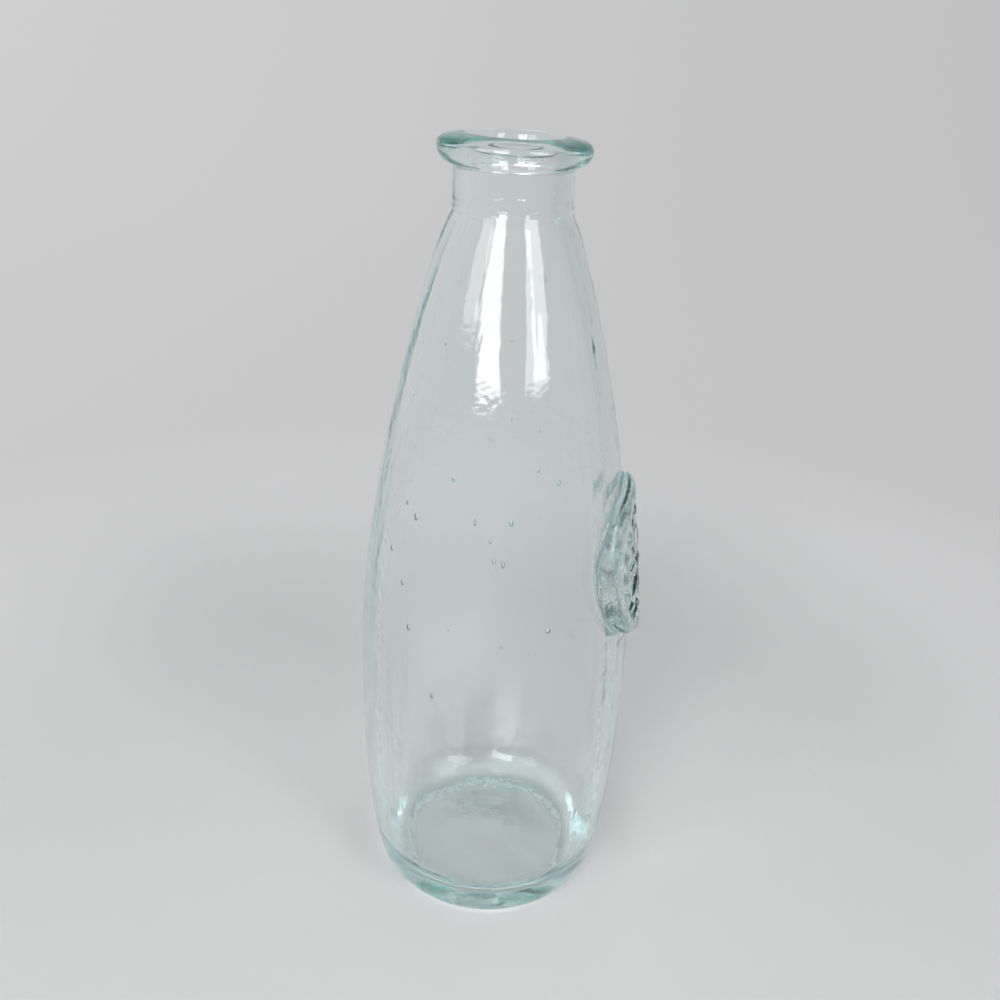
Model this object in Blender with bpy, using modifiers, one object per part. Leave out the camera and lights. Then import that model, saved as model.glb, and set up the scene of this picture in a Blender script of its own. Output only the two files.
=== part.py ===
"""Mini milk bottle of thick recycled glass, with a round glass seal pressed onto its side.

Sizes are in metres and angles in radians. The bottle stands on z = 0 and the seal faces -Y. The middle of
the box that holds both is on the Z axis, so the bottle's own axis lies a little behind it, by half of what
the seal stands out further than the barrel.

The bottle is one turned shell. Its section starts at the middle of the inner floor, climbs the inside to
the mouth, rolls over the lip and comes down the outside to the middle of the underside. The seal is turned
flat, pressed with a plain rosette, and then laid onto the curved wall.
"""

import math

import bpy
import numpy as np

# Outside of the bottle
bottle_height = 0.1840
barrel_radius = 0.0327
barrel_widest_height = 0.0605
heel_radius = 0.0050
heel_wall_radius = 0.0281
neck_radius = 0.0128
neck_length = 0.0083
flare_length = 0.0043
flare_growth = 0.0015

# Rolled lip
lip_radius = 0.0162
lip_height = 0.0062
lip_underside_radius = 0.0006
mouth_radius = 0.0104

# Parting line that the neck ring of the mould leaves
parting_line_height = 0.0003
parting_line_width = 0.0009

# Glass thickness, inner floor and underside
wall_thickness = 0.0034
neck_wall = 0.0039
floor_thickness = 0.0037
floor_rise = 0.0002
floor_corner_radius = 0.0080
bearing_width = 0.0034
push_up_height = 0.0024

# Seal
seal_radius = 0.0190
seal_centre_height = 0.0920
seal_thickness = 0.0026
seal_edge_radius = 0.0021
seal_field_depth = 0.0009
seal_gap = 0.0003
bead_radius = 0.0014
bead_height = 0.0008
petal_width = 0.0033
petal_height = 0.0009
boss_height = 0.0009
pattern_drop = 0.0015

# Points closer than this are one point where the section meets the axis
weld_distance = 0.000001

# How the curves bend, as shares of the heights and widths that they span
barrel_pull_share = 0.46
shoulder_pull_share = 0.07
shoulder_slope_share = 0.40
lower_pull_share = 0.06
heel_pull_share = 0.29
heel_slope_share = 0.31
lip_widest_share = 0.40
lip_crown_share = 0.62
lip_round_share = 0.62
lip_tuck_share = 0.45
mouth_lead_share = 0.45
floor_pull_shares = (0.50, 0.75)
corner_pull_share = 0.55
flare_pull_share = 0.15
throat_pull_share = 0.45
push_up_pull_share = 0.50
face_drop_share = 0.80
lobe_shares = {2: 0.012, 3: 0.010, 5: 0.006}
lobe_turns = {2: 0.9, 3: 2.1, 5: 0.4}

# Places on the seal's face, as shares of its radius
boss_share = 0.12
petal_start_share = 0.14
petal_end_share = 0.52
bead_ring_share = 0.645
rim_foot_share = 0.76
rim_crest_share = 0.84
face_ring_shares = (0.0, 0.07, 0.13, 0.20, 0.27, 0.34, 0.41, 0.48, 0.54)
bead_ring_step_share = 0.038
back_ring_shares = (0.94, 0.62, 0.31)

# Counts
bottle_steps = 60
seal_steps = 96
petal_count = 8
bead_count = 16

# Straight pieces in each curve of the sections
outer_wall_pieces = (14, 7)
inner_wall_pieces = (11, 6)
fine_wall_pieces = (80, 40)
mouth_pieces = 6
lip_top_pieces = 7
lip_under_pieces = 6
flare_pieces = 4
heel_pieces = 5
push_up_pieces = 5
floor_pieces = 4
floor_corner_pieces = 5
seal_edge_pieces = 4

# Colours as red, green, blue and alpha
bottle_colour = (0.74, 0.88, 0.85, 1.0)
seal_colour = (0.62, 0.82, 0.78, 1.0)
glass_roughness = 0.04
glass_ior = 1.52

# Heights and radii that follow from the sizes above
lip_underside = bottle_height - lip_height
lip_widest = bottle_height - lip_widest_share * lip_height
parting_height = lip_underside - neck_length
flare_end = parting_height - flare_length
flare_end_radius = neck_radius + flare_growth
bore_radius = neck_radius - neck_wall
heel_lean = math.atan(heel_slope_share)
heel_top = heel_radius * (1 - math.sin(heel_lean))
bearing_outer = heel_wall_radius - heel_radius * math.cos(heel_lean)
bearing_inner = bearing_outer - bearing_width
seal_field = seal_thickness - seal_field_depth


def clear_scene():
    for item in list(bpy.data.objects):
        bpy.data.objects.remove(item, do_unlink=True)


def make_collection(name):
    collection = bpy.data.collections.new(name)
    bpy.context.scene.collection.children.link(collection)
    return collection


def glass_material(name, colour):
    material = bpy.data.materials.new(name)
    material.use_nodes = True
    material.diffuse_color = colour
    shader = material.node_tree.nodes["Principled BSDF"]
    shader.inputs["Base Color"].default_value = colour
    shader.inputs["Roughness"].default_value = glass_roughness
    shader.inputs["Metallic"].default_value = 0.0
    shader.inputs["IOR"].default_value = glass_ior
    shader.inputs["Transmission Weight"].default_value = 1.0
    return material


def bezier(start, first, second, end, count):
    """Points of a cubic curve in (radius, height), without its start, so that curves join end to end."""
    points = []
    for i in range(1, count + 1):
        t = i / count
        a, b, c, d = (1 - t) ** 3, 3 * t * (1 - t) ** 2, 3 * t * t * (1 - t), t**3
        points.append(tuple(a * p + b * q + c * r + d * s for p, q, r, s in zip(start, first, second, end)))
    return points


def barrel_wall(pieces):
    """The outside from the foot of the neck's flare down to the top of the heel."""
    upper_pieces, lower_pieces = pieces
    upper_span = flare_end - barrel_widest_height
    tail = shoulder_pull_share * upper_span
    upper = bezier(
        (flare_end_radius, flare_end),
        (flare_end_radius + shoulder_slope_share * tail, flare_end - tail),
        (barrel_radius, barrel_widest_height + barrel_pull_share * upper_span),
        (barrel_radius, barrel_widest_height),
        upper_pieces,
    )
    lower_span = barrel_widest_height - heel_top
    pull = heel_pull_share * lower_span
    lower = bezier(
        (barrel_radius, barrel_widest_height),
        (barrel_radius, barrel_widest_height - lower_pull_share * lower_span),
        (heel_wall_radius + heel_slope_share * pull, heel_top + pull),
        (heel_wall_radius, heel_top),
        lower_pieces,
    )
    return [(flare_end_radius, flare_end)] + upper + lower


def wall_radius_at(heights):
    """Outside radius of the barrel at these heights."""
    wall = barrel_wall(fine_wall_pieces)[::-1]
    return np.interp(heights, [z for _, z in wall], [r for r, _ in wall])


def lip_section():
    """Over the lip: from inside the mouth, over the crest, round the roll and down to the neck."""
    lead = mouth_lead_share * lip_height
    crown = lip_crown_share * (lip_radius - mouth_radius)
    drop = bottle_height - lip_widest
    rise = lip_widest - lip_underside
    neck_top = (neck_radius, lip_underside - lip_underside_radius)
    tuck = (neck_radius + lip_underside_radius, lip_underside)
    mouth = bezier(
        (bore_radius, bottle_height - lip_height),
        (bore_radius, bottle_height - lead),
        (bore_radius, bottle_height),
        (mouth_radius, bottle_height),
        mouth_pieces,
    )
    top = bezier(
        (mouth_radius, bottle_height),
        (mouth_radius + crown, bottle_height),
        (lip_radius, lip_widest + lip_round_share * drop),
        (lip_radius, lip_widest),
        lip_top_pieces,
    )
    under = bezier(
        (lip_radius, lip_widest),
        (lip_radius, lip_widest - lip_round_share * rise),
        (lip_radius - lip_tuck_share * (lip_radius - neck_radius), lip_underside),
        tuck,
        lip_under_pieces,
    )
    return [(bore_radius, bottle_height - lip_height)] + mouth + top + under + [neck_top]


def neck_section():
    """The short neck, the fine raised parting line and the flare into the shoulder."""
    half = parting_line_width / 2
    pull = flare_pull_share * flare_length
    line = [
        (neck_radius, parting_height + half),
        (neck_radius + parting_line_height, parting_height),
        (neck_radius, parting_height - half),
    ]
    flare = bezier(
        line[-1],
        (neck_radius, parting_height - half - pull),
        (flare_end_radius - shoulder_slope_share * pull, flare_end + pull),
        (flare_end_radius, flare_end),
        flare_pieces,
    )
    return line + flare


def heel_and_underside():
    """The rounded heel, the flat ring that the bottle stands on, and the push-up in the middle."""
    points = []
    for i in range(1, heel_pieces + 1):
        turn = heel_lean + (math.pi / 2 - heel_lean) * i / heel_pieces
        points.append((bearing_outer + heel_radius * math.cos(turn), heel_radius * (1 - math.sin(turn))))
    points.append((bearing_inner, 0.0))
    points += bezier(
        (bearing_inner, 0.0),
        (bearing_inner * (1 - push_up_pull_share / 2), 0.0),
        (bearing_inner * push_up_pull_share, push_up_height),
        (0.0, push_up_height),
        push_up_pieces,
    )
    return points


def inside_section():
    """From the middle of the inner floor, round its corner and up the inside to the neck's bore."""
    floor_middle = push_up_height + floor_thickness
    floor_edge = floor_middle - floor_rise
    corner_top = floor_edge + floor_corner_radius
    inner_at_corner = float(wall_radius_at(corner_top)) - wall_thickness
    floor_radius = inner_at_corner - floor_corner_radius
    pull = corner_pull_share * floor_corner_radius
    points = [(0.0, floor_middle)]
    points += bezier(
        (0.0, floor_middle),
        (floor_radius * floor_pull_shares[0], floor_middle),
        (floor_radius * floor_pull_shares[1], floor_edge),
        (floor_radius, floor_edge),
        floor_pieces,
    )
    points += bezier(
        (floor_radius, floor_edge),
        (floor_radius + pull, floor_edge),
        (inner_at_corner, corner_top - pull),
        (inner_at_corner, corner_top),
        floor_corner_pieces,
    )
    wall = [p for p in barrel_wall(inner_wall_pieces)[::-1] if corner_top < p[1] - wall_thickness]
    for radius, height in wall:
        climb = (height - corner_top) / (flare_end - corner_top)
        thickness = wall_thickness + (neck_wall - wall_thickness) * climb
        points.append((radius - thickness, height))
    throat = points[-1]
    pull = throat_pull_share * (parting_height - flare_end)
    points += bezier(
        throat,
        (throat[0] - shoulder_slope_share * pull, throat[1] + pull),
        (bore_radius, parting_height - pull),
        (bore_radius, parting_height),
        flare_pieces,
    )
    return points


def turned(name, section, steps, collection):
    """A Screw modifier turns the section, given as (radius, height), round the Z axis."""
    mesh = bpy.data.meshes.new(name)
    edges = [(i, i + 1) for i in range(len(section) - 1)]
    mesh.from_pydata([(r, 0.0, z) for r, z in section], edges, [])
    item = bpy.data.objects.new(name, mesh)
    collection.objects.link(item)
    screw = item.modifiers.new("Turn", "SCREW")
    screw.axis = "Z"
    screw.angle = 2 * math.pi
    screw.steps = steps
    screw.render_steps = steps
    screw.use_smooth_shade = True
    screw.use_merge_vertices = True
    screw.merge_threshold = weld_distance
    return item


def make_bottle(collection):
    section = inside_section() + lip_section() + neck_section()
    section += barrel_wall(outer_wall_pieces)[1:] + heel_and_underside()
    bottle = turned("glass_body", section, bottle_steps, collection)
    bottle.data.materials.append(glass_material("bottle_glass", bottle_colour))
    return bottle


def seal_section():
    """The seal's flat section as (radius, height), from the middle of its face round its edge to its back."""
    ring = bead_ring_share * seal_radius
    step = bead_ring_step_share * seal_radius
    points = [(share * seal_radius, seal_field) for share in face_ring_shares]
    points += [(ring + i * step, seal_field) for i in (-2, -1, 0, 1, 2)]
    points.append((rim_foot_share * seal_radius, seal_field))
    points.append((rim_crest_share * seal_radius, seal_thickness))
    for i in range(seal_edge_pieces + 1):
        turn = math.pi / 2 * i / seal_edge_pieces
        points.append(
            (
                seal_radius - seal_edge_radius * (1 - math.sin(turn)),
                seal_thickness - seal_edge_radius * (1 - math.cos(turn)),
            )
        )
    points += [(share * seal_radius, 0.0) for share in back_ring_shares]
    points.append((0.0, 0.0))
    return points


def dome(distance, height):
    """Height of a dome at this distance from its middle, as a share of its radius."""
    return height * max(0.0, 1 - distance**2)


def off_spoke(turn, count):
    """Angle to the nearest of this many spokes."""
    spacing = 2 * math.pi / count
    return (turn + spacing / 2) % spacing - spacing / 2


def relief(radius, turn):
    """Height of the pressed pattern: a boss, a ring of petals and a ring of beads."""
    boss = dome(radius / (boss_share * seal_radius), boss_height)
    middle = (petal_start_share + petal_end_share) / 2 * seal_radius
    half = (petal_end_share - petal_start_share) / 2 * seal_radius
    across = radius * off_spoke(turn, petal_count) / (petal_width / 2)
    petal = dome(math.hypot((radius - middle) / half, across), petal_height)
    ring = bead_ring_share * seal_radius
    across = ring * off_spoke(turn, bead_count)
    bead = dome(math.hypot(radius - ring, across) / bead_radius, bead_height)
    return boss + petal + bead


def lobes(turn):
    """How far the poured edge swells or shrinks round the seal."""
    return sum(share * math.sin(count * turn + lobe_turns[count]) for count, share in lobe_shares.items())


def lay_on_wall(across, up, out):
    """A point of the flat seal, laid onto the wall. The face bends a little less than the back."""
    height = seal_centre_height + up
    radius = float(wall_radius_at(height)) + seal_gap
    drop = radius - math.sqrt(radius**2 - across**2)
    bend = 1 - (1 - face_drop_share) * out / seal_thickness
    return across, -(radius + out - drop * bend), height


def make_seal(collection):
    flat = turned("flat_seal", seal_section(), seal_steps, collection)
    graph = bpy.context.evaluated_depsgraph_get()
    mesh = bpy.data.meshes.new_from_object(flat.evaluated_get(graph))
    bpy.data.objects.remove(flat, do_unlink=True)
    for vertex in mesh.vertices:
        x, y, out = vertex.co
        radius = math.hypot(x, y)
        turn = math.atan2(y, x)
        if out > seal_field / 2 and radius < rim_foot_share * seal_radius:
            out += relief(radius, turn)
        swell = 1 + lobes(turn) * (radius / seal_radius) ** 3
        drop = pattern_drop * (1 - (radius / seal_radius) ** 4)
        vertex.co = lay_on_wall(x * swell, y * swell - drop, out)
    seal = bpy.data.objects.new("seal_medallion", mesh)
    mesh.name = "seal_medallion"
    mesh.shade_smooth()
    collection.objects.link(seal)
    seal.data.materials.append(glass_material("seal_glass", seal_colour))
    return seal


def centre_on_origin(pieces, collection):
    """Hangs the pieces on an empty on the bottle's axis, which puts the middle of their box on the Z axis."""
    axis = bpy.data.objects.new("bottle_axis", None)
    collection.objects.link(axis)
    seal_reach = -min(vertex.co.y for vertex in pieces["seal"].data.vertices)
    axis.location.y = (seal_reach - barrel_radius) / 2
    for piece in pieces.values():
        piece.parent = axis


def main():
    clear_scene()
    collection = make_collection("mini_milk_bottle")
    pieces = {"bottle": make_bottle(collection), "seal": make_seal(collection)}
    centre_on_origin(pieces, collection)


main()
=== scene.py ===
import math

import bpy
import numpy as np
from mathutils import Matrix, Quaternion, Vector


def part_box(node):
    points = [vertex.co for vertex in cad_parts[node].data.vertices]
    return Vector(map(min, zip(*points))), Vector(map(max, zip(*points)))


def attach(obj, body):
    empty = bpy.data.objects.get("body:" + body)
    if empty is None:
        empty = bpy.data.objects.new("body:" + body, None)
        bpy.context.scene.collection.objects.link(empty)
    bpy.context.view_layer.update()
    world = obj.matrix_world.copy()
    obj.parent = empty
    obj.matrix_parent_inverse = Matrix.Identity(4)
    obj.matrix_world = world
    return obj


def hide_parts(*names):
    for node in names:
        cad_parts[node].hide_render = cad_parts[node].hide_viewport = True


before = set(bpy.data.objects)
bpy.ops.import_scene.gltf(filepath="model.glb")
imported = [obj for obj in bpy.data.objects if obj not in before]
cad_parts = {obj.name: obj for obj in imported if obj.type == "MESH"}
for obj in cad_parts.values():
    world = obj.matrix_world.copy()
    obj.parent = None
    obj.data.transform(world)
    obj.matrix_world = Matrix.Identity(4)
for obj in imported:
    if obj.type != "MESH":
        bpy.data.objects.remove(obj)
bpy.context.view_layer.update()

# Looks of the mini milk bottle: one continuous piece of pale green recycled glass, on a plain pale floor in
# soft light. Its lip, heel, stippled bearing ring, fused seal, waves and seeds are geometry.
# Sizes are in metres and angles in radians. The bottle stands on z = 0 and its seal faces -Y.

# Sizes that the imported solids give
body_low, body_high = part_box("glass_body")
bottle_height = body_high.z
barrel_radius = (body_high.x - body_low.x) / 2
axis_y = (body_low.y + body_high.y) / 2

# Outside of the bottle
barrel_widest_height = 0.0605
heel_radius = 0.0050
heel_wall_radius = 0.0281
neck_radius = 0.0128
neck_length = 0.0083
flare_length = 0.0043
flare_growth = 0.0015

# Rolled lip
lip_radius = 0.0162
lip_height = 0.0062
lip_underside_radius = 0.0006
mouth_radius = 0.0104
lip_tilt = math.radians(1.2)

# Parting line that the neck ring of the mould leaves
parting_line_height = 0.00014
parting_line_width = 0.0011

# Glass thickness, inner floor and underside
wall_thickness = 0.0034
neck_wall = 0.0039
floor_thickness = 0.0037
floor_rise = 0.0002
floor_corner_radius = 0.0080
bearing_width = 0.0034
push_up_height = 0.0024

# Seal
seal_radius = 0.0190
seal_centre_height = 0.0920
seal_thickness = 0.0026
seal_edge_radius = 0.0021
seal_field_depth = 0.0009
seal_lift = 0.0003
seal_fillet = 0.0006
bead_radius = 0.0014
bead_height = 0.0008
petal_width = 0.0033
petal_height = 0.0009
petal_vein_width = 0.0005
boss_height = 0.0009
rib_height = 0.0003
rib_width = 0.0008
moat_depth = 0.00020
moat_width = 0.0040
pattern_drop = 0.0015
hammer_height = 0.00009

# Dents pressed into the ring that the bottle stands on
stipple_pitch = 0.0011
stipple_radius = 0.00052
stipple_depth = 0.00022
stipple_margin = 0.0002
dent_rows = 64
dent_depth_shares = (0.35, 1.0)

# Waves of the wall: how much of them is left at the heel, the lip, the neck and the inner floor. The margin
# draws the outside in. Behind the seal, whose heat softened the wall, the inside bulges inwards
wave_margin = 0.00010
heel_wave_share = 0.1
lip_wave_share = 0.15
neck_wave_share = 0.3
floor_wave_share = 0.6
seal_bulge = 0.0003
seal_bulge_share = 0.8

# Seeds, the small bubbles caught in the glass. The random ones keep a clear turn from the seal's middle
seed_count = 48
seed_width = 0.00028
seed_thickness = 0.00010
seed_length = 0.00050
seed_sides = 8
seed_rings = 5
seed_clear_turn = 0.75
seed_lowest = 0.022
seed_highest = 0.152
seed_size_shares = (0.35, 1.3)
seed_size_power = 1.5
seed_depth_shares = (0.30, 0.65)
seed_spread_shares = (0.6, 1.4)

# The largest seeds, as (column, row, size against the others): where each shows to the camera, chosen in
# pixels from
# # the picture's upper left corner
marked_seeds = (
    (455, 479, 1.5),
    (410, 504, 1.3),
    (419, 516, 1.6),
    (537, 471, 1.0),
    (557, 480, 1.2),
    (475, 522, 1.4),
    (511, 524, 1.3),
    (490, 539, 1.6),
    (494, 558, 1.3),
    (504, 562, 1.5),
    (395, 549, 1.4),
    (410, 627, 1.7),
    (547, 629, 1.6),
    (405, 582, 1.2),
)
picture_size = 1000
sight_steps = 9000

# How the curves bend, as shares of the heights and widths that they span
barrel_pull_share = 0.46
shoulder_pull_share = 0.07
shoulder_slope_share = 0.40
lower_pull_share = 0.06
heel_pull_share = 0.29
heel_slope_share = 0.31
lip_widest_share = 0.40
lip_crown_share = 0.62
lip_round_share = 0.62
lip_tuck_share = 0.45
mouth_lead_share = 0.45
floor_pull_shares = (0.50, 0.75)
corner_pull_share = 0.55
flare_pull_share = 0.15
throat_pull_share = 0.45
push_up_pull_share = 0.50
face_drop_share = 0.80
lobe_shares = {2: 0.012, 3: 0.010, 5: 0.006}
lobe_turns = {2: 0.9, 3: 2.1, 5: 0.4}

# Places on the seal's face, as shares of its radius
boss_share = 0.12
petal_start_share = 0.14
petal_end_share = 0.52
petal_vein_share = 0.35
bead_ring_share = 0.645
rib_middle_share = 0.735
rib_half_share = 0.030
rim_foot_share = 0.76
rim_crest_share = 0.84
petal_count = 8
bead_count = 16
rib_count = 60

# Finish of the glass: sizes and heights of its unevenness, how dull it is, and how it bends light
hammer_length = 0.0022
hammer_length_shares = (0.6, 1.8)
peel_size = 0.0009
peel_height = 0.000024
ripple_size = 0.0026
ripple_height = 0.00006
drawn_line_width = 0.0030
drawn_line_share = 0.06
drawn_line_height = 0.000060
grain_size = 0.0009
seal_grain_height = 0.00006
foot_grain_height = 0.00012
patch_size = 0.020
patch_roughness = 0.07
seal_roughness = 0.02
foot_roughness = 0.06
glass_ior = 1.52

# Scuffs of the bearing ring: their size, the noise values at which they start and are full, and how opaque
# they are
wear_size = 0.0009
wear_start = 0.30
wear_full = 0.44
wear_share = 0.9

# Colour that the glass takes on with its depth
absorption_colour = (0.32, 0.73, 0.70, 1.0)
absorption_density = 15.0

# Floor and backdrop
floor_gap = 0.00005
floor_radius = 1.0
cove_size = 0.6
wall_height = 0.5
cove_pieces = 16
floor_steps = 96
floor_colour = (0.58, 0.58, 0.58, 1.0)
wall_colour = (0.86, 0.86, 0.87, 1.0)
floor_roughness = 0.65
mottle_size = 0.05
mottle_roughness = 0.15

# Glowing backdrop, seen in place of the lit floor from these distances on, and its colours on both sides.
# The two colours
# # paint a light falloff across it: painted light on the left, painted shade on the right
backdrop_start = 0.12
backdrop_full = 0.36
backdrop_edge = 0.8
backdrop_painted_light_left = (0.62, 0.62, 0.62, 1.0)
backdrop_painted_shade_right = (0.51, 0.51, 0.52, 1.0)

# Soft light from the surroundings. The ceiling starts, and is fully dark, at these sines of the elevation
sky_colour = (0.66, 0.67, 0.68, 1.0)
ceiling_colour = (0.12, 0.12, 0.12, 1.0)
ceiling_start = 0.72
ceiling_full = 0.84

# Lamps: the turn from the camera's direction, to the right in the picture, then the place, the size, the
# power in watts and the height on the bottle's axis that the lamp aims at
lamps = {
    "left_window": dict(
        turn=math.radians(-20), distance=0.9, height=0.55, width=0.38, tall=0.60, power=7.2, aim_height=0.15
    ),
    "left_curtain": dict(
        turn=math.radians(-47), distance=0.9, height=0.60, width=0.34, tall=0.50, power=1.8, aim_height=0.15
    ),
    "right_window": dict(
        turn=math.radians(40), distance=0.9, height=0.55, width=0.32, tall=0.60, power=3.6, aim_height=0.15
    ),
    "overhead": dict(
        turn=math.radians(120), distance=0.3, height=1.3, width=1.0, tall=1.0, power=1.2, aim_height=0.0
    ),
}

# Light that is led along inside the wall bounces this many times
bounces = 40

# Camera: its focal length as a share of the picture's width, its distance from the bottle's axis, its
# height and its direction. The sensor's width is in millimetres
camera_focus_share = 1.05
camera_distance = 0.2245
camera_height = 0.2036
camera_turn = math.radians(-173.5)
camera_pitch = math.radians(24.32)
camera_roll = math.radians(2.46)
camera_near = 0.01
sensor_width = 36

# Fineness of the outlines, as counts of points
shoulder_points = 120
lower_wall_points = 60
fillet_points = 8
neck_points = 60
heel_points = 30
inner_wall_points = 160
seal_foot_points = 5
seal_edge_points = 16
seal_slope_points = 12

# Fineness of the mesh
columns = 160
wall_spacing = 0.00125
lip_spacing = 0.00038
neck_spacing = 0.00042
heel_spacing = 0.00060
stipple_spacing = 0.00036
floor_spacing = 0.00120
inner_wall_spacing = 0.00150
throat_spacing = 0.00070
seal_spacing = 0.00034
window_margin = 0.0040
window_rings = 7

# Heights and radii that follow from the sizes above
lip_underside = bottle_height - lip_height
lip_widest = bottle_height - lip_widest_share * lip_height
parting_height = lip_underside - neck_length
flare_end = parting_height - flare_length
flare_end_radius = neck_radius + flare_growth
bore_radius = neck_radius - neck_wall
heel_lean = math.atan(heel_slope_share)
heel_top = heel_radius * (1 - math.sin(heel_lean))
bearing_outer = heel_wall_radius - heel_radius * math.cos(heel_lean)
bearing_inner = bearing_outer - bearing_width
seal_field = seal_thickness - seal_field_depth


def bezier(start, first, second, end, count=40):
    """Points of a cubic curve in (radius, height), with both its ends."""
    t = np.linspace(0, 1, count + 1)[:, None]
    weights = ((1 - t) ** 3, 3 * t * (1 - t) ** 2, 3 * t * t * (1 - t), t**3)
    return sum(w * np.array(p) for w, p in zip(weights, (start, first, second, end)))


def even(points, spacing):
    """The same line with its points about this far apart."""
    points = np.asarray(points, float)
    along = np.concatenate([[0.0], np.cumsum(np.hypot(*np.diff(points, axis=0).T))])
    stops = np.linspace(0, along[-1], max(2, round(along[-1] / spacing)) + 1)
    return np.stack([np.interp(stops, along, points[:, k]) for k in (0, 1)], axis=1)


def barrel_wall():
    """The outside from the foot of the neck's flare down to the top of the heel."""
    upper_span = flare_end - barrel_widest_height
    tail = shoulder_pull_share * upper_span
    upper = bezier(
        (flare_end_radius, flare_end),
        (flare_end_radius + shoulder_slope_share * tail, flare_end - tail),
        (barrel_radius, barrel_widest_height + barrel_pull_share * upper_span),
        (barrel_radius, barrel_widest_height),
        shoulder_points,
    )
    lower_span = barrel_widest_height - heel_top
    pull = heel_pull_share * lower_span
    lower = bezier(
        (barrel_radius, barrel_widest_height),
        (barrel_radius, barrel_widest_height - lower_pull_share * lower_span),
        (heel_wall_radius + heel_slope_share * pull, heel_top + pull),
        (heel_wall_radius, heel_top),
        lower_wall_points,
    )
    return np.concatenate([upper, lower[1:]])


wall_line = barrel_wall()


def wall_radius_at(heights):
    """Outside radius of the barrel at these heights."""
    return np.interp(heights, wall_line[::-1, 1], wall_line[::-1, 0])


def mouth_section():
    lead = mouth_lead_share * lip_height
    return bezier(
        (bore_radius, bottle_height - lip_height),
        (bore_radius, bottle_height - lead),
        (bore_radius, bottle_height),
        (mouth_radius, bottle_height),
    )


def lip_section():
    """From the crest of the mouth round the roll and under it to the neck."""
    crown = lip_crown_share * (lip_radius - mouth_radius)
    drop = bottle_height - lip_widest
    rise = lip_widest - lip_underside
    top = bezier(
        (mouth_radius, bottle_height),
        (mouth_radius + crown, bottle_height),
        (lip_radius, lip_widest + lip_round_share * drop),
        (lip_radius, lip_widest),
    )
    under = bezier(
        (lip_radius, lip_widest),
        (lip_radius, lip_widest - lip_round_share * rise),
        (lip_radius - lip_tuck_share * (lip_radius - neck_radius), lip_underside),
        (neck_radius + lip_underside_radius, lip_underside),
    )
    fillet = bezier(
        (neck_radius + lip_underside_radius, lip_underside),
        (neck_radius + lip_underside_radius / 2, lip_underside),
        (neck_radius, lip_underside - lip_underside_radius / 2),
        (neck_radius, lip_underside - lip_underside_radius),
        fillet_points,
    )
    return np.concatenate([top, under[1:], fillet[1:]])


def neck_section():
    """The short neck with its fine raised parting line, and the flare into the shoulder."""
    half = parting_line_width / 2
    heights = np.linspace(lip_underside - lip_underside_radius, parting_height - half, neck_points)
    off = np.clip(np.abs(heights - parting_height) / half, 0, 1)
    line = neck_radius + parting_line_height * (1 + np.cos(math.pi * off)) / 2
    pull = flare_pull_share * flare_length
    flare = bezier(
        (neck_radius, parting_height - half),
        (neck_radius, parting_height - half - pull),
        (flare_end_radius - shoulder_slope_share * pull, flare_end + pull),
        (flare_end_radius, flare_end),
    )
    return np.concatenate([np.stack([line, heights], axis=1), flare[1:]])


def heel_section():
    turns = np.linspace(heel_lean, math.pi / 2, heel_points)
    return np.stack(
        [bearing_outer + heel_radius * np.cos(turns), heel_radius * (1 - np.sin(turns))], axis=1
    )


def push_up_section():
    return bezier(
        (bearing_inner, 0.0),
        (bearing_inner * (1 - push_up_pull_share / 2), 0.0),
        (bearing_inner * push_up_pull_share, push_up_height),
        (0.0, push_up_height),
    )


def inside_sections():
    """The inner floor, its round corner, the wall and the throat, from the floor's middle upwards."""
    floor_middle = push_up_height + floor_thickness
    floor_edge = floor_middle - floor_rise
    corner_top = floor_edge + floor_corner_radius
    inner_at_corner = float(wall_radius_at(corner_top)) - wall_thickness
    flat_radius = inner_at_corner - floor_corner_radius
    pull = corner_pull_share * floor_corner_radius
    floor = bezier(
        (0.0, floor_middle),
        (flat_radius * floor_pull_shares[0], floor_middle),
        (flat_radius * floor_pull_shares[1], floor_edge),
        (flat_radius, floor_edge),
    )
    corner = bezier(
        (flat_radius, floor_edge),
        (flat_radius + pull, floor_edge),
        (inner_at_corner, corner_top - pull),
        (inner_at_corner, corner_top),
    )
    heights = np.linspace(corner_top, flare_end, inner_wall_points)
    climb = (heights - corner_top) / (flare_end - corner_top)
    thickness = wall_thickness + (neck_wall - wall_thickness) * climb
    wall = np.stack([wall_radius_at(heights) - thickness, heights], axis=1)
    pull = throat_pull_share * (parting_height - flare_end)
    throat = bezier(
        tuple(wall[-1]),
        (wall[-1, 0] - shoulder_slope_share * pull, wall[-1, 1] + pull),
        (bore_radius, parting_height - pull),
        (bore_radius, parting_height),
    )
    bore = np.array([(bore_radius, parting_height), (bore_radius, bottle_height - lip_height)])
    return floor, corner, wall, np.concatenate([throat, bore[1:]])


def make_waves(seed, around, along, count, height):
    """A smooth random swell over the turned wall, as a function of turn and level.

    around is how many waves go round it, at least and at most, and along is how long they are up the wall.
    """
    rng = np.random.default_rng(seed)
    turns = rng.integers(around[0], around[1] + 1, count)
    lengths = rng.uniform(along[0], along[1], count)
    starts = rng.uniform(0, 2 * math.pi, count)
    signs = rng.choice((-1, 1), count)

    def swell(turn, level):
        total = 0.0
        for n, length, start, sign in zip(turns, lengths, starts, signs):
            total = total + np.cos(n * turn + sign * 2 * math.pi * level / length + start)
        return height * total / math.sqrt(count) / 2

    return swell


outer_swell = make_waves(seed=3, around=(2, 6), along=(0.050, 0.120), count=8, height=0.00010)
outer_chill = make_waves(seed=5, around=(10, 48), along=(0.012, 0.090), count=40, height=0.000012)
inner_swell = make_waves(seed=8, around=(3, 14), along=(0.060, 0.400), count=14, height=0.00022)
inner_ripple = make_waves(seed=11, around=(10, 56), along=(0.030, 0.200), count=44, height=0.000036)


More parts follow.
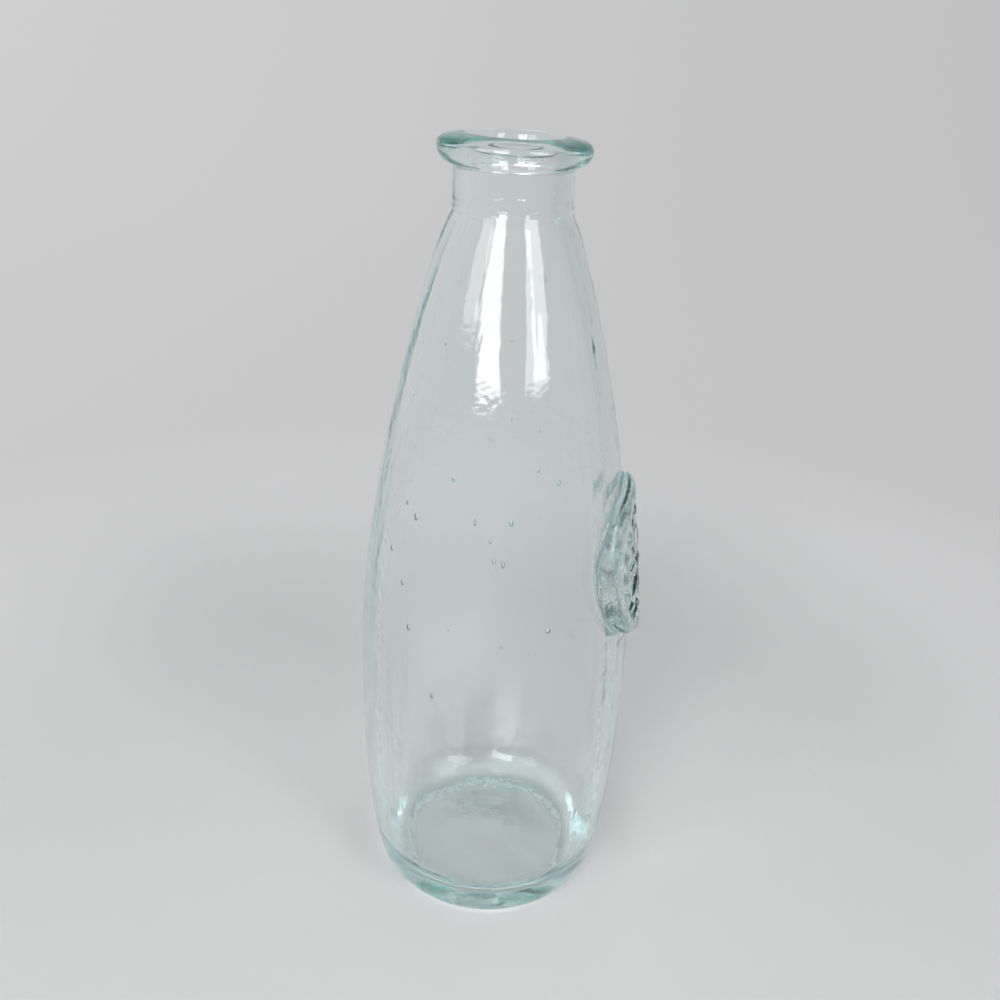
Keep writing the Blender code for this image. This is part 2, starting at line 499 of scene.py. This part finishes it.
def seal_distance(turn, level):
    """Distance along the wall from the middle of the seal."""
    return np.hypot(wall_radius_at(level) * turn, level - seal_centre_height)


def outer_offset(turn, level):
    """How far the waves move the outside. They only take glass away, so nothing leaves the solid's box."""
    fade = np.clip((level - heel_top) / (barrel_widest_height / 3), heel_wave_share, 1)
    crown = np.clip((bottle_height - level) / (bottle_height - flare_end), lip_wave_share, 1)
    waves = outer_swell(turn, level) + outer_chill(turn, level)
    return np.minimum(0.0, waves * fade * crown - wave_margin)


def inner_offset(turn, level):
    """How far the waves and the seal's heat move the inside: the wall bulges inwards behind the seal."""
    away = seal_distance(np.where(turn > math.pi, turn - 2 * math.pi, turn), level)
    bulge = -seal_bulge * np.exp(-((away / (seal_bulge_share * seal_radius)) ** 4))
    climb = (parting_height - level) / (parting_height - flare_end)
    calm = np.clip(climb + neck_wave_share, neck_wave_share, 1)
    return (inner_swell(turn, level) + inner_ripple(turn, level)) * calm + bulge


def tilt_lip(points):
    """Lowers the lip's crest a little towards the seal, as on the real bottle."""
    grow = np.clip((points[:, 2] - lip_underside) / lip_height, 0, 1)
    reach = lip_radius - (points[:, 1] - axis_y)
    points[:, 2] -= math.tan(lip_tilt) * reach * grow
    return points


class Shell:
    """Points and faces of the glass, gathered ring by ring."""

    def __init__(self):
        self.points = []
        self.faces = []
        self.zones = {"seal": [], "foot": [], "inside": []}

    def add(self, points, **zones):
        """Adds points and returns their numbers. Each zone's value says how far they belong to it."""
        first = len(self.points)
        self.points.extend(map(tuple, points))
        for name, values in self.zones.items():
            values.extend(np.broadcast_to(zones.get(name, 0.0), len(points)))
        return np.arange(first, first + len(points))

    def join(self, a, b):
        """Closes the strip between two rings. One may have twice the other's points."""
        if len(a) == len(b):
            for i in range(len(a)):
                j = (i + 1) % len(a)
                self.faces.append((a[i], b[i], b[j], a[j]))
        elif len(b) == 2 * len(a):
            for i in range(len(a)):
                j = (i + 1) % len(a)
                m = (2 * i + 2) % len(b)
                self.faces.append((a[i], b[2 * i], b[2 * i + 1]))
                self.faces.append((a[i], b[2 * i + 1], a[j]))
                self.faces.append((a[j], b[2 * i + 1], b[m]))
        else:
            for i in range(len(b)):
                j = (i + 1) % len(b)
                m = (2 * i + 2) % len(a)
                self.faces.append((a[2 * i], b[i], a[2 * i + 1]))
                self.faces.append((a[2 * i + 1], b[i], b[j]))
                self.faces.append((a[2 * i + 1], b[j], a[m]))

    def cap(self, middle, ring):
        """Closes a ring with a fan from its middle point."""
        for i in range(len(ring)):
            self.faces.append((middle, ring[i], ring[(i + 1) % len(ring)]))


def ring_turns(count):
    return np.arange(count) * 2 * math.pi / count


def on_ring(turns, radius, level):
    """Points round the bottle's axis. Turn 0 faces the seal and turns grow towards +X."""
    across = radius * np.sin(turns)
    ahead = axis_y - radius * np.cos(turns)
    return np.stack([across, ahead, np.broadcast_to(level, turns.shape)], axis=1)


foot_middle = (bearing_outer + bearing_inner) / 2
dents_around = round(2 * math.pi * foot_middle / stipple_pitch)
dent_depths = np.random.default_rng(23).uniform(*dent_depth_shares, (dent_rows, dents_around))


def foot_share(radius, level):
    """How far a ring at this radius belongs to the stippled ring, from 0 to 1."""
    reach = bearing_width / 2 + stipple_margin
    share = float(np.clip((reach - abs(radius - foot_middle)) / stipple_pitch, 0, 1))
    return share * (level < heel_radius)


def stipple(turns, radius):
    """Height of the uneven dents pressed into the ring that the bottle stands on."""
    rows = (radius - foot_middle) / stipple_pitch
    row = round(rows)
    places = turns / (2 * math.pi) * dents_around + (row % 2) / 2
    across = (places % 1 - 1 / 2) * stipple_pitch
    off = np.hypot(across, (rows - row) * stipple_pitch) / stipple_radius
    depths = dent_depths[row, np.floor(places).astype(int) % dents_around]
    return stipple_depth * depths * np.clip(1 - off**2, 0, 1)


def outer_ring(shell, radius, level, count=columns):
    turns = ring_turns(count)
    moved = radius + outer_offset(turns, np.full(count, level))
    points = on_ring(turns, moved, level)
    foot = foot_share(radius, level)
    points[:, 2] += stipple(turns, radius) * foot
    return shell.add(tilt_lip(points), foot=foot)


def inner_ring(shell, radius, level, count=columns):
    turns = ring_turns(count)
    away = np.clip(radius / (floor_corner_radius * 2), 0, 1)
    moved = radius + inner_offset(turns, np.full(count, level)) * away
    points = on_ring(turns, moved, level)
    floor_top = push_up_height + floor_thickness
    low = np.clip(1 - (level - floor_top) / floor_corner_radius, 0, 1)
    points[:, 2] += floor_wave_share * inner_swell(turns, np.full(count, radius)) * low * away
    return shell.add(tilt_lip(points), inside=1.0)


def lobes(turn):
    """How far the poured edge swells or shrinks round the seal."""
    return sum(share * np.sin(count * turn + lobe_turns[count]) for count, share in lobe_shares.items())


def off_spoke(turn, count):
    """Angle to the nearest of this many spokes."""
    spacing = 2 * math.pi / count
    return (turn + spacing / 2) % spacing - spacing / 2


def dome(distance, height):
    return height * np.sqrt(np.clip(1 - distance**2, 0, 1))


def relief(radius, turn):
    """Height of the pressed pattern: a boss, veined petals, a ring of beads and a ring of fine ribs."""
    boss = dome(radius / (boss_share * seal_radius), boss_height)
    middle = (petal_start_share + petal_end_share) / 2 * seal_radius
    half = (petal_end_share - petal_start_share) / 2 * seal_radius
    across = radius * off_spoke(turn, petal_count)
    petal = dome(np.hypot((radius - middle) / half, across / (petal_width / 2)), petal_height)
    petal = petal * (1 - petal_vein_share * np.exp(-((across / petal_vein_width) ** 2)))
    ring = bead_ring_share * seal_radius
    across = ring * off_spoke(turn, bead_count)
    bead = dome(np.hypot(radius - ring, across) / bead_radius, bead_height)
    across = radius * off_spoke(turn, rib_count)
    along = (radius - rib_middle_share * seal_radius) / (rib_half_share * seal_radius)
    rib = dome(np.hypot(along, across / (rib_width / 2)), rib_height)
    return boss + petal + bead + rib


def seal_section():
    """The seal's outside as (radius, height over the wall), from its foot over the rim to its middle."""
    top = seal_lift + seal_thickness
    foot = np.array(
        [
            (
                seal_radius + seal_fillet * (1 - math.sin(turn)),
                seal_fillet * (1 - math.cos(turn)) - moat_depth,
            )
            for turn in np.linspace(0, math.pi / 2, seal_foot_points)
        ]
    )
    edge = np.array(
        [
            (
                seal_radius - seal_edge_radius * (1 - math.cos(turn)),
                top - seal_edge_radius * (1 - math.sin(turn)),
            )
            for turn in np.linspace(0, math.pi / 2, seal_edge_points)
        ]
    )
    crest = rim_crest_share * seal_radius
    rim_foot = rim_foot_share * seal_radius
    halfway = (crest + rim_foot) / 2
    field = seal_lift + seal_field
    slope = bezier((crest, top), (halfway, top), (halfway, field), (rim_foot, field), seal_slope_points)
    face = np.array([(rim_foot, field), (0.0, field)])
    return np.concatenate([foot, edge, slope, face[1:]])


def make_hammer(seed, count, length):
    """Smooth random unevenness of a pressed face, from about -1 to 1."""
    rng = np.random.default_rng(seed)
    headings = rng.uniform(0, 2 * math.pi, count)
    waves = 2 * math.pi / (length * rng.uniform(*hammer_length_shares, count))
    starts = rng.uniform(0, 2 * math.pi, count)

    def height(across, up):
        total = 0.0
        for heading, wave, start in zip(headings, waves, starts):
            total = total + np.cos(wave * (across * math.cos(heading) + up * math.sin(heading)) + start)
        return np.clip(total / math.sqrt(count), -1, 1)

    return height


hammer = make_hammer(seed=31, count=24, length=hammer_length)


def lay_on_wall(across, up, out):
    """Points of the flat seal, laid onto the wavy wall. The face bends a little less than its back."""
    level = seal_centre_height + up
    radius = wall_radius_at(level)
    turn = np.arcsin(np.clip(across / radius, -1, 1))
    radius = radius + outer_offset(turn, level)
    drop = radius * (1 - np.cos(turn))
    bend = 1 - (1 - face_drop_share) * np.clip(out, 0, None) / seal_thickness
    return np.stack([across, axis_y - (radius + out - drop * bend), level], axis=1)


def add_seal(shell, window, across, up):
    """Fills the window in the wall with the seal. across and up are the window's points, laid flat.

    A moat leads from the window to the seal's foot, and the pattern follows on rings of its own.
    """
    count = len(window)
    spokes = ring_turns(count)
    foot_radius = seal_radius + seal_fillet
    foot = foot_radius * (1 + lobes(spokes)) * np.stack([np.cos(spokes), np.sin(spokes)])
    last = window
    for i in range(1, window_rings):
        share = 1 - i / window_rings
        ring = share * np.stack([across, up]) + (1 - share) * foot
        gap = np.hypot(*(ring - foot))
        moat = -moat_depth * np.exp(-((gap / moat_width) ** 2))
        numbers = shell.add(lay_on_wall(ring[0], ring[1], moat))
        shell.join(numbers, last)
        last = numbers
    fine = ring_turns(2 * count)
    for radius, out in even(seal_section(), seal_spacing)[:-1]:
        turns = fine
        if radius < boss_share * 2 * seal_radius:
            turns = spokes
        swell = 1 + lobes(turns) * (radius / seal_radius) ** 3
        height = np.full(len(turns), out)
        if radius < rim_foot_share * seal_radius:
            height = height + relief(radius, turns)
        share = min(1.0, radius / seal_radius)
        drop = pattern_drop * (1 - share**4)
        sideways = radius * swell * np.cos(turns)
        upwards = radius * swell * np.sin(turns) - drop
        if out > seal_field / 2:
            height = height - hammer_height * (1 + hammer(sideways, upwards)) * (1 - share**8)
        numbers = shell.add(lay_on_wall(sideways, upwards, height), seal=1.0)
        shell.join(numbers, last)
        last = numbers
    peak = np.array([seal_lift + seal_field + boss_height])
    middle = shell.add(lay_on_wall(np.zeros(1), np.array([-pattern_drop]), peak), seal=1.0)
    shell.cap(middle[0], last)


def window_loop(high_row, low_row, side):
    """The window's edge as (row, column) of the wall, all the way round from the middle of one side."""
    middle_row = (high_row + low_row) // 2
    loop = [(row, side) for row in range(middle_row, high_row, -1)]
    loop += [(high_row, column) for column in range(side, -side, -1)]
    loop += [(row, -side) for row in range(high_row, low_row)]
    loop += [(low_row, column) for column in range(-side, side)]
    return loop + [(row, side) for row in range(low_row, middle_row, -1)]


def add_wall(shell, rows, last):
    """The outside wall, ring by ring, with a window left open where the seal goes."""
    half_height = seal_radius + window_margin
    low_row = int(np.argmin(np.abs(rows[:, 1] - (seal_centre_height - half_height))))
    high_row = int(np.argmin(np.abs(rows[:, 1] - (seal_centre_height + half_height))))
    half_turn = math.asin(half_height / wall_radius_at(seal_centre_height))
    side = int(round(half_turn / (2 * math.pi) * columns))
    inside = [(k % columns) for k in range(-side + 1, side)]
    grid = {}
    for number, (radius, level) in enumerate(rows):
        turns = ring_turns(columns)
        keep = np.ones(columns, bool)
        if high_row < number < low_row:
            keep[inside] = False
        moved = radius + outer_offset(turns, np.full(columns, level))
        points = on_ring(turns, moved, level)
        ring = np.full(columns, -1)
        ring[keep] = shell.add(points[keep])
        grid[number] = ring
        if number == 0:
            shell.join(last, ring)
            continue
        above = grid[number - 1]
        for i in range(columns):
            j = (i + 1) % columns
            corner = i if i < columns / 2 else i - columns
            if high_row < number <= low_row and -side <= corner < side:
                continue
            shell.faces.append((above[i], ring[i], ring[j], above[j]))
    loop = window_loop(high_row, low_row, side)
    window = np.array([grid[row][column % columns] for row, column in loop])
    level = np.array([rows[row, 1] for row, _ in loop])
    radius = np.array([rows[row, 0] for row, _ in loop])
    turn = np.array([column * 2 * math.pi / columns for _, column in loop])
    add_seal(shell, window, radius * np.sin(turn), level - seal_centre_height)
    return grid[len(rows) - 1]


def add_seed(shell, turn, level, depth, width, thickness, length):
    """A bubble in the wall: a small closed surface, longer than wide, that faces its own middle."""
    out = np.array([math.sin(turn), -math.cos(turn), 0.0])
    sideways = np.array([math.cos(turn), math.sin(turn), 0.0])
    centre = (float(wall_radius_at(level)) - depth) * out + np.array([0.0, axis_y, level])
    rise = np.array([0.0, 0.0, length])
    around = ring_turns(seed_sides)[:, None]
    bottom = shell.add([centre - rise])[0]
    last = None
    for i in range(1, seed_rings):
        climb = math.pi * i / seed_rings
        ring = thickness * np.cos(around) * out + width * np.sin(around) * sideways
        numbers = shell.add(centre + ring * math.sin(climb) - rise * math.cos(climb))
        if last is None:
            shell.cap(bottom, numbers)
        else:
            shell.join(last, numbers)
        last = numbers
    shell.cap(shell.add([centre + rise])[0], last[::-1])


def wall_place(column, row):
    """Turn and height, to a degree and a millimetre, where the near wall shows at this place in the picture.

    The camera's line of sight is followed to the middle of the glass.
    """
    camera, aim = camera_pose()
    sight = aim @ Vector((column / picture_size - 1 / 2, 1 / 2 - row / picture_size, -camera_focus_share))
    reach = np.linspace(0, 2 * camera_distance, sight_steps)[:, None]
    points = np.array(camera) + reach * np.array(sight)
    off_axis = np.hypot(points[:, 0], points[:, 1] - axis_y)
    first = np.argmax(off_axis < wall_radius_at(points[:, 2]) - wall_thickness / 2)
    across, along, level = points[first]
    degrees = math.degrees(math.atan2(across, axis_y - along))
    return math.radians(round(degrees)), round(level, 3)


def add_seeds(shell):
    """The marked bubbles, and others spread over the rest of the wall."""
    rng = np.random.default_rng(17)
    places = [(*wall_place(column, row), size) for column, row, size in marked_seeds]
    for _ in range(seed_count):
        turn = rng.uniform(seed_clear_turn, 2 * math.pi - seed_clear_turn)
        level = rng.uniform(seed_lowest, seed_highest)
        places.append((turn, level, rng.uniform(*seed_size_shares) ** seed_size_power))
    for turn, level, size in places:
        depth = rng.uniform(*seed_depth_shares) * wall_thickness
        spread = rng.uniform(*seed_spread_shares, 3)
        width, thickness, length = spread * (seed_width, seed_thickness, seed_length) * size
        add_seed(shell, turn, level, depth, width, thickness, length)


def add_inside(shell):
    """The inner floor, wall, throat and mouth. Returns the last ring."""
    floor, corner, wall, throat = inside_sections()
    inner = [
        even(floor, floor_spacing)[1:],
        even(corner, throat_spacing)[1:],
        even(wall, inner_wall_spacing)[1:],
        even(throat, throat_spacing)[1:],
        even(mouth_section(), lip_spacing)[1:-1],
    ]
    middle = shell.add([(0.0, axis_y, push_up_height + floor_thickness)])[0]
    last = None
    for radius, level in np.concatenate(inner):
        ring = inner_ring(shell, radius, level)
        if last is None:
            shell.cap(middle, ring)
        else:
            shell.join(last, ring)
        last = ring
    return last


def add_rings(shell, rows, last, count=columns):
    """Adds a ring of the outside for each (radius, height), joined to the last. Returns the final one."""
    for radius, level in rows:
        ring = outer_ring(shell, radius, level, count)
        shell.join(last, ring)
        last = ring
    return last


def build_shell():
    """The glass as one closed surface, from the inner floor's middle over the lip to the underside."""
    shell = Shell()
    last = add_inside(shell)
    last = add_rings(shell, even(lip_section(), lip_spacing), last)
    last = add_rings(shell, even(neck_section(), neck_spacing)[1:], last)
    last = add_wall(shell, even(wall_line, wall_spacing)[1:], last)
    heel = even(heel_section(), heel_spacing)[1:]
    last = add_rings(shell, heel[: len(heel) // 2], last)
    flat = np.array([(bearing_outer, 0.0), (bearing_inner, 0.0)])
    under = even(push_up_section(), stipple_spacing)
    near = under[:, 0] > bearing_inner - bearing_width / 2
    band = [
        even(heel[len(heel) // 2 :], stipple_spacing),
        even(flat, stipple_spacing)[1:],
        under[near][1:],
    ]
    last = add_rings(shell, np.concatenate(band), last, 2 * columns)
    last = add_rings(shell, even(under[~near], floor_spacing)[:-1], last)
    shell.cap(shell.add([(0.0, axis_y, push_up_height)])[0], last[::-1])
    add_seeds(shell)
    return shell


def make_glass(material):
    shell = build_shell()
    mesh = bpy.data.meshes.new("milk_bottle_glass")
    mesh.from_pydata(shell.points, [], shell.faces)
    mesh.update()
    mesh.shade_smooth()
    for name, values in shell.zones.items():
        mesh.attributes.new(name, "FLOAT", "POINT").data.foreach_set("value", values)
    mesh.materials.append(material)
    glass = bpy.data.objects.new("milk_bottle_glass", mesh)
    bpy.context.scene.collection.objects.link(glass)
    return glass


def tree_node(tree, kind, **inputs):
    """A node with some of its inputs set, or linked where the value is another node's output."""
    node = tree.nodes.new(kind)
    for name, value in inputs.items():
        socket = node.inputs[name.replace("_", " ")]
        if isinstance(value, bpy.types.NodeSocket):
            tree.links.new(value, socket)
        else:
            socket.default_value = value
    return node


def noise_at(tree, place, scale, detail):
    return tree_node(tree, "ShaderNodeTexNoise", Vector=place, Scale=scale, Detail=detail).outputs["Fac"]


def value_of(tree, operation, first, second):
    """A maths node on two numbers or outputs."""
    node = tree.nodes.new("ShaderNodeMath")
    node.operation = operation
    for socket, value in zip(node.inputs, (first, second)):
        if isinstance(value, bpy.types.NodeSocket):
            tree.links.new(value, socket)
        else:
            socket.default_value = value
    return node.outputs["Value"]


def mixed_colour(tree, share, first, second):
    """A colour between two, where share 0 gives the first and share 1 the second."""
    mix = tree.nodes.new("ShaderNodeMix")
    mix.data_type = "RGBA"
    tree.links.new(share, mix.inputs["Factor"])
    mix.inputs["A"].default_value = first
    mix.inputs["B"].default_value = second
    return mix.outputs["Result"]


def vector_length(tree, vector):
    node = tree.nodes.new("ShaderNodeVectorMath")
    node.operation = "LENGTH"
    tree.links.new(vector, node.inputs[0])
    return node.outputs["Value"]


def share_along(tree, place, axis, start, end):
    """How far a place has come from start to end along an axis, from 0 to 1."""
    along = tree_node(tree, "ShaderNodeSeparateXYZ", Vector=place).outputs[axis]
    span = {"From_Min": start, "From_Max": end}
    return tree_node(tree, "ShaderNodeMapRange", Value=along, **span).outputs["Result"]


def zone_of(tree, name):
    node = tree.nodes.new("ShaderNodeAttribute")
    node.attribute_name = name
    return node.outputs["Fac"]


def glass_relief(tree, place, seal, foot, inside):
    """Fine unevenness: orange peel where the mould touched, drawn lines, and grain on seal and foot."""
    stretched = tree_node(tree, "ShaderNodeMapping", Vector=place, Scale=(1.0, 1.0, drawn_line_share))
    peel = noise_at(tree, place, 1 / peel_size, detail=2.0)
    ripple = noise_at(tree, place, 1 / ripple_size, detail=1.0)
    lines = noise_at(tree, stretched.outputs["Vector"], 1 / drawn_line_width, detail=1.0)
    grain = noise_at(tree, place, 1 / grain_size, detail=3.0)
    height = value_of(tree, "MULTIPLY", peel, peel_height)
    height = value_of(tree, "ADD", height, value_of(tree, "MULTIPLY", ripple, ripple_height))
    height = value_of(tree, "MULTIPLY", height, value_of(tree, "SUBTRACT", 1.0, inside))
    height = value_of(tree, "ADD", height, value_of(tree, "MULTIPLY", lines, drawn_line_height))
    rough = value_of(tree, "MULTIPLY", seal, seal_grain_height)
    rough = value_of(tree, "ADD", rough, value_of(tree, "MULTIPLY", foot, foot_grain_height))
    height = value_of(tree, "ADD", height, value_of(tree, "MULTIPLY", grain, rough))
    bump = tree_node(tree, "ShaderNodeBump", Strength=1.0, Distance=1.0, Height=height)
    return bump.outputs["Normal"]


def glass_roughness(tree, place, seal, foot):
    """Nearly clear, with faint dull patches, a duller seal and a frosted foot."""
    patches = noise_at(tree, place, 1 / patch_size, detail=3.0)
    dull = value_of(tree, "MULTIPLY", patches, patch_roughness)
    dull = value_of(tree, "ADD", dull, value_of(tree, "MULTIPLY", seal, seal_roughness))
    return value_of(tree, "ADD", dull, value_of(tree, "MULTIPLY", foot, foot_roughness))


def clear_share(tree, place, foot):
    """How clear the glass is: fully, but for the scuffs that standing has left on the foot."""
    scuffs = noise_at(tree, place, 1 / wear_size, detail=4.0)
    scuffs = tree_node(tree, "ShaderNodeMapRange", Value=scuffs, From_Min=wear_start, From_Max=wear_full)
    worn = value_of(tree, "MULTIPLY", scuffs.outputs["Result"], wear_share)
    return value_of(tree, "SUBTRACT", 1.0, value_of(tree, "MULTIPLY", worn, foot))


def glass_material():
    material = bpy.data.materials.new("pale_green_recycled_glass")
    material.use_nodes = True
    tree = material.node_tree
    place = tree.nodes.new("ShaderNodeTexCoord").outputs["Object"]
    seal = zone_of(tree, "seal")
    foot = zone_of(tree, "foot")
    shader = tree.nodes["Principled BSDF"]
    shader.inputs["Base Color"].default_value = (1.0, 1.0, 1.0, 1.0)
    shader.inputs["IOR"].default_value = glass_ior
    shader.inputs["Transmission Weight"].default_value = 1.0
    tree.links.new(clear_share(tree, place, foot), shader.inputs["Transmission Weight"])
    tree.links.new(glass_roughness(tree, place, seal, foot), shader.inputs["Roughness"])
    relief_normal = glass_relief(tree, place, seal, foot, zone_of(tree, "inside"))
    tree.links.new(relief_normal, shader.inputs["Normal"])
    colour = {"Color": absorption_colour, "Density": absorption_density}
    tint = tree_node(tree, "ShaderNodeVolumeAbsorption", **colour)
    tree.links.new(tint.outputs["Volume"], tree.nodes["Material Output"].inputs["Volume"])
    return material


def floor_material():
    """Pale matt paint with a faint mottle. Away from the bottle it shows as a glowing pale backdrop instead,
    also in the glass and through it, with a painted light falloff from lighter on the left to darker on the
    right, while the floor near the bottle keeps its shadow."""
    material = bpy.data.materials.new("pale_floor")
    material.use_nodes = True
    tree = material.node_tree
    place = tree.nodes.new("ShaderNodeTexCoord").outputs["Object"]
    span = {"From_Min": backdrop_start, "From_Max": backdrop_full}
    fade = tree_node(tree, "ShaderNodeMapRange", Value=vector_length(tree, place), **span)
    fade.interpolation_type = "SMOOTHSTEP"
    far = fade.outputs["Result"]
    shader = tree.nodes["Principled BSDF"]
    tree.links.new(mixed_colour(tree, far, floor_colour, wall_colour), shader.inputs["Base Color"])
    mottle = noise_at(tree, place, 1 / mottle_size, detail=2.0)
    mottle = value_of(tree, "MULTIPLY", mottle, mottle_roughness)
    tree.links.new(value_of(tree, "ADD", mottle, floor_roughness), shader.inputs["Roughness"])
    # Painted light falloff: the backdrop's glow is lighter on the left and darker on the right
    sideways = share_along(tree, place, "Y", backdrop_edge, -backdrop_edge)
    backdrop = mixed_colour(tree, sideways, backdrop_painted_light_left, backdrop_painted_shade_right)
    glow = tree_node(tree, "ShaderNodeEmission", Color=backdrop, Strength=1.0)
    path = tree.nodes.new("ShaderNodeLightPath").outputs
    seen = value_of(tree, "MAXIMUM", path["Is Camera Ray"], path["Is Glossy Ray"])
    seen = value_of(tree, "MAXIMUM", seen, path["Is Transmission Ray"])
    mix = tree_node(tree, "ShaderNodeMixShader", Fac=value_of(tree, "MULTIPLY", seen, far))
    tree.links.new(shader.outputs["BSDF"], mix.inputs[1])
    tree.links.new(glow.outputs["Emission"], mix.inputs[2])
    tree.links.new(mix.outputs["Shader"], tree.nodes["Material Output"].inputs["Surface"])
    return material


def make_floor():
    """A round floor whose edge curves up into a pale wall on every side."""
    section = [(0.0, 0.0, -floor_gap)]
    for i in range(cove_pieces + 1):
        turn = math.pi / 2 * i / cove_pieces
        radius = floor_radius + cove_size * math.sin(turn)
        section.append((radius, 0.0, cove_size * (1 - math.cos(turn)) - floor_gap))
    section.append((floor_radius + cove_size, 0.0, cove_size + wall_height))
    mesh = bpy.data.meshes.new("floor")
    mesh.from_pydata(section, [(i, i + 1) for i in range(len(section) - 1)], [])
    floor = bpy.data.objects.new("floor", mesh)
    bpy.context.scene.collection.objects.link(floor)
    screw = floor.modifiers.new("Turn", "SCREW")
    screw.steps = floor_steps
    screw.render_steps = floor_steps
    screw.use_merge_vertices = True
    screw.merge_threshold = floor_gap
    screw.use_smooth_shade = True
    mesh.materials.append(floor_material())


def camera_pose():
    """The camera's place and rotation. It looks at the bottle's axis, with the seal on the right."""
    out = Vector((math.cos(camera_turn), math.sin(camera_turn), 0))
    place = Vector((0, axis_y, 0)) + camera_distance * out + Vector((0, 0, camera_height))
    ahead = -out * math.cos(camera_pitch) - Vector((0, 0, math.sin(camera_pitch)))
    return place, ahead.to_track_quat("-Z", "Y") @ Quaternion((0, 0, 1), camera_roll)


def make_camera():
    data = bpy.data.cameras.new("camera")
    data.sensor_width = sensor_width
    data.lens = sensor_width * camera_focus_share
    data.clip_start = camera_near
    camera = bpy.data.objects.new("camera", data)
    bpy.context.scene.collection.objects.link(camera)
    camera.rotation_mode = "QUATERNION"
    camera.location, camera.rotation_quaternion = camera_pose()
    bpy.context.scene.camera = camera


def make_lamp(name, turn, distance, height, width, tall, power, aim_height):
    """A soft rectangular lamp that the camera doesn't see."""
    light = bpy.data.lights.new(name, "AREA")
    light.shape = "RECTANGLE"
    light.size = width
    light.size_y = tall
    light.energy = power
    lamp = bpy.data.objects.new(name, light)
    bpy.context.scene.collection.objects.link(lamp)
    angle = camera_turn + turn
    lamp.location = (distance * math.cos(angle), axis_y + distance * math.sin(angle), height)
    aim = Vector((0, axis_y, aim_height)) - lamp.location
    lamp.rotation_mode = "QUATERNION"
    lamp.rotation_quaternion = aim.to_track_quat("-Z", "Y")
    lamp.visible_camera = False


def make_world():
    """Soft light from all sides, with a darker ceiling that gives the glass its dark accents."""
    world = bpy.data.worlds.new("studio")
    bpy.context.scene.world = world
    world.use_nodes = True
    tree = world.node_tree
    place = tree.nodes.new("ShaderNodeTexCoord").outputs["Generated"]
    share = share_along(tree, place, "Z", ceiling_start, ceiling_full)
    colour = mixed_colour(tree, share, sky_colour, ceiling_colour)
    tree.links.new(colour, tree.nodes["Background"].inputs["Color"])


def set_light_paths():
    """Lets light cross the glass unblurred, so that the floor inside and behind it isn't too dark."""
    cycles = bpy.context.scene.cycles
    cycles.max_bounces = bounces
    cycles.transmission_bounces = bounces
    cycles.glossy_bounces = bounces
    cycles.caustics_refractive = True
    cycles.caustics_reflective = True
    cycles.blur_glossy = 0.0


def main():
    bpy.context.scene.view_settings.view_transform = "Standard"
    set_light_paths()
    glass = make_glass(glass_material())
    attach(glass, "root")
    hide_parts("glass_body", "seal_medallion")
    make_floor()
    make_camera()
    for name, lamp in lamps.items():
        make_lamp(name, **lamp)
    make_world()


main()
